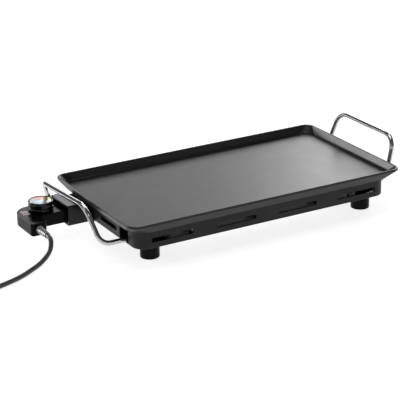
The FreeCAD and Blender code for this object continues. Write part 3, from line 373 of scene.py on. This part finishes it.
# radius and height above the floor, in millimetres
KNOB_PROFILE = [(18.2, 51.6), (19.9, 51.6), (20.2, 51.9), (20.2, 55.9), (20.0, 56.3), (19.3, 56.6),
                (19.3, 57.4), (20.0, 57.7), (20.2, 58.1), (20.15, 63.9), (19.95, 64.7), (19.5, 65.2),
                (18.9, 65.4), (18.2, 65.3), (17.7, 65.0), (17.55, 64.6), (17.5, 64.0), (3.05, 64.0),
                (3.05, 52.7), (6, 52.7), (6, 62), (18.2, 62)]
DIAL_PROFILE = [(0, 64.05), (17.35, 64.05), (17.35, 64.6), (17.0, 64.95), (14.0, 65.3), (9.0, 65.55),
                (4.0, 65.65), (0, 65.68)]
KNOB_AXIS = (-0.309, 0.062)


def make_knob(materials):
    """Smooth turned knob with a grooved side, and the domed dial set into its top."""
    for name, profile, finish, node in (("knob_shell", KNOB_PROFILE, "knob_plastic", "control_knob"),
                                        ("dial_dome", DIAL_PROFILE, "dial_face", "dial_disc")):
        mesh = lathe(name, [(radius / MM_PER_METRE, height / MM_PER_METRE) for radius, height in profile])
        mesh.transform(Matrix.Translation(from_plate(*KNOB_AXIS, 0)))
        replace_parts(new_piece(name, mesh, materials[finish], "knob"), node)


# ---------------------------------------------------------------- cord

CORD_ROUTE = [(-0.3355, -0.018, 0.0385), (-0.3355, -0.027, 0.0385), (-0.3365, -0.034, 0.0325),
              (-0.340, -0.0365, 0.021), (-0.3485, -0.037, 0.0105), (-0.361, -0.0405, 0.0039),
              (-0.379, -0.053, 0.0039), (-0.403, -0.0685, 0.0039), (-0.431, -0.0795, 0.0039),
              (-0.458, -0.0875, 0.0039), (-0.484, -0.092, 0.0039)]
TAIL_ROUTE = [(-0.558, -0.019, 0.0117), (-0.5584, -0.008, 0.0122), (-0.5578, 0.002, 0.0166),
              (-0.558, 0.011, 0.01905), (-0.558, 0.020, 0.01905)]
COIL_CENTRE = (-0.512, -0.046)
COIL_TURNS = 5.25
TURN_POINTS = 16
# turn, and the coil's radius or height there in millimetres
COIL_RADII = [(0, 46), (0.75, 46), (1.0, 38), (1.75, 38), (2.0, 30), (3.25, 30), (3.5, 38), (4.25, 38),
              (4.5, 46), (5.25, 46)]
COIL_HEIGHTS = [(0, 3.9), (2.5, 3.9), (2.75, 11.6), (5.25, 11.6)]


def along(table, turn):
    """Read a table of (turn, millimetres) at a turn, in metres."""
    for (start, low), (end, high) in zip(table, table[1:]):
        if turn <= end:
            share = (turn - start) / (end - start)
            return (low + (high - low) * share) / MM_PER_METRE
    return table[-1][1] / MM_PER_METRE


def coil_points():
    """Turns of the put-away cord, clockwise from the front: inwards on the floor, then outwards on top."""
    points = []
    outset = 1 / math.cos(math.pi / TURN_POINTS)
    count = int(COIL_TURNS * TURN_POINTS)
    for step in range(1, count):
        turn = step / TURN_POINTS
        angle = -math.pi / 2 - 2 * math.pi * turn
        radius = along(COIL_RADII, turn) * outset
        points.append((COIL_CENTRE[0] + radius * math.cos(angle), COIL_CENTRE[1] + radius * math.sin(angle),
                       along(COIL_HEIGHTS, turn)))
    return points


def make_cord(material):
    """The whole mains cord as one smooth spline, from the strain relief through the coil to the plug."""
    points = [from_plate(*point) for point in CORD_ROUTE + coil_points() + TAIL_ROUTE]
    data = bpy.data.curves.new("mains_cord", "CURVE")
    data.dimensions = "3D"
    spline = data.splines.new("NURBS")
    spline.points.add(len(points) - 1)
    for target, point in zip(spline.points, points):
        target.co = (*point, 1)
    spline.order_u = 3
    spline.use_endpoint_u = True
    spline.resolution_u = 6
    data.bevel_depth = CORD_DIAMETER / 2
    data.bevel_resolution = 5
    data.use_fill_caps = True
    data.materials.append(material)
    cord = bpy.data.objects.new("mains_cord", data)
    bpy.context.collection.objects.link(cord)
    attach(cord, "controller")
    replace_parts(cord, "power_cord", "cord_coil", "cord_tail")


# ---------------------------------------------------------------- floor and light

FLOOR_REACH = 6  # from its middle to each side
FLOOR_GLOW = 0.82
ROOM_LIGHT = 0.12
# name, azimuth, elevation, distance, size and radiance
SOFTBOXES = [("back_right", 50, 20, 2.6, (1.2, 1.2), 5.6),
             ("back", 24, 24, 2.6, (1.4, 1.0), 2.0),
             ("back_left", -38, 11, 2.6, (1.5, 0.95), 15),
             ("overhead", 0, 86, 2.4, (1.6, 1.2), 2.6),
             ("left", -100, 32, 2.6, (0.8, 1.0), 1.2),
             ("front", 205, 30, 2.8, (0.5, 0.4), 4),
             ("front_right", 152, 15, 2.8, (1.2, 0.5), 1.8)]


def make_floor():
    """Plain pale floor that glows like a light table, which washes out most of the shadow."""
    made = Shader("floor_paint", (0.5, 0.5, 0.5), 0.6, Specular_IOR_Level=0.0)
    made.color_by(made.noise(3, 2), (0.49, 0.49, 0.49), (0.51, 0.51, 0.51))
    made.bsdf.inputs["Emission Color"].default_value = (1, 1, 1, 1)
    made.bsdf.inputs["Emission Strength"].default_value = FLOOR_GLOW
    work = bmesh.new()
    bmesh.ops.create_grid(work, x_segments=4, y_segments=4, size=FLOOR_REACH)
    mesh = bpy.data.meshes.new("floor")
    work.to_mesh(mesh)
    work.free()
    mesh.materials.append(made.material)
    floor = bpy.data.objects.new("floor", mesh)
    bpy.context.collection.objects.link(floor)


def add_light(name, azimuth, elevation, distance, size, radiance):
    """A softbox facing the griddle, itself unseen: azimuth 0 is behind the griddle and 90 on its right."""
    turn, rise = math.radians(azimuth), math.radians(elevation)
    data = bpy.data.lights.new(name, "AREA")
    data.shape = "RECTANGLE"
    data.size, data.size_y = size
    data.energy = radiance * math.pi * size[0] * size[1]
    light = bpy.data.objects.new(name, data)
    bpy.context.collection.objects.link(light)
    light.location = distance * Vector((math.sin(turn) * math.cos(rise), math.cos(turn) * math.cos(rise),
                                        math.sin(rise)))
    light.rotation_euler = (-light.location).to_track_quat("-Z", "Y").to_euler()
    light.visible_camera = False
    return light


def spare_handles(light):
    """Keep a light off the two bright handles, which it would burn out."""
    bright_wires = bpy.data.collections.new("bright_wires")
    for number, name in enumerate(("handle_left", "handle_right")):
        bright_wires.objects.link(frame["nodes"][name])
        bright_wires.collection_objects[number].light_linking.link_state = "EXCLUDE"
    light.light_linking.receiver_collection = bright_wires


def make_lights():
    """Soft studio light from all round, in a dim room."""
    world = bpy.data.worlds.new("room")
    bpy.context.scene.world = world
    world.use_nodes = True
    background = world.node_tree.nodes["Background"]
    background.inputs["Color"].default_value = (1, 1, 1, 1)
    background.inputs["Strength"].default_value = ROOM_LIGHT
    boxes = {name: add_light(name, *settings) for name, *settings in SOFTBOXES}
    spare_handles(boxes["back_left"])


# ---------------------------------------------------------------- the whole scene

make_camera()
finishes = make_materials()
dress_nodes(finishes)
make_cord(finishes["cord_sheath"])
make_knob(finishes)
make_floor()
make_lights()
bpy.context.scene.view_settings.view_transform = "Standard"
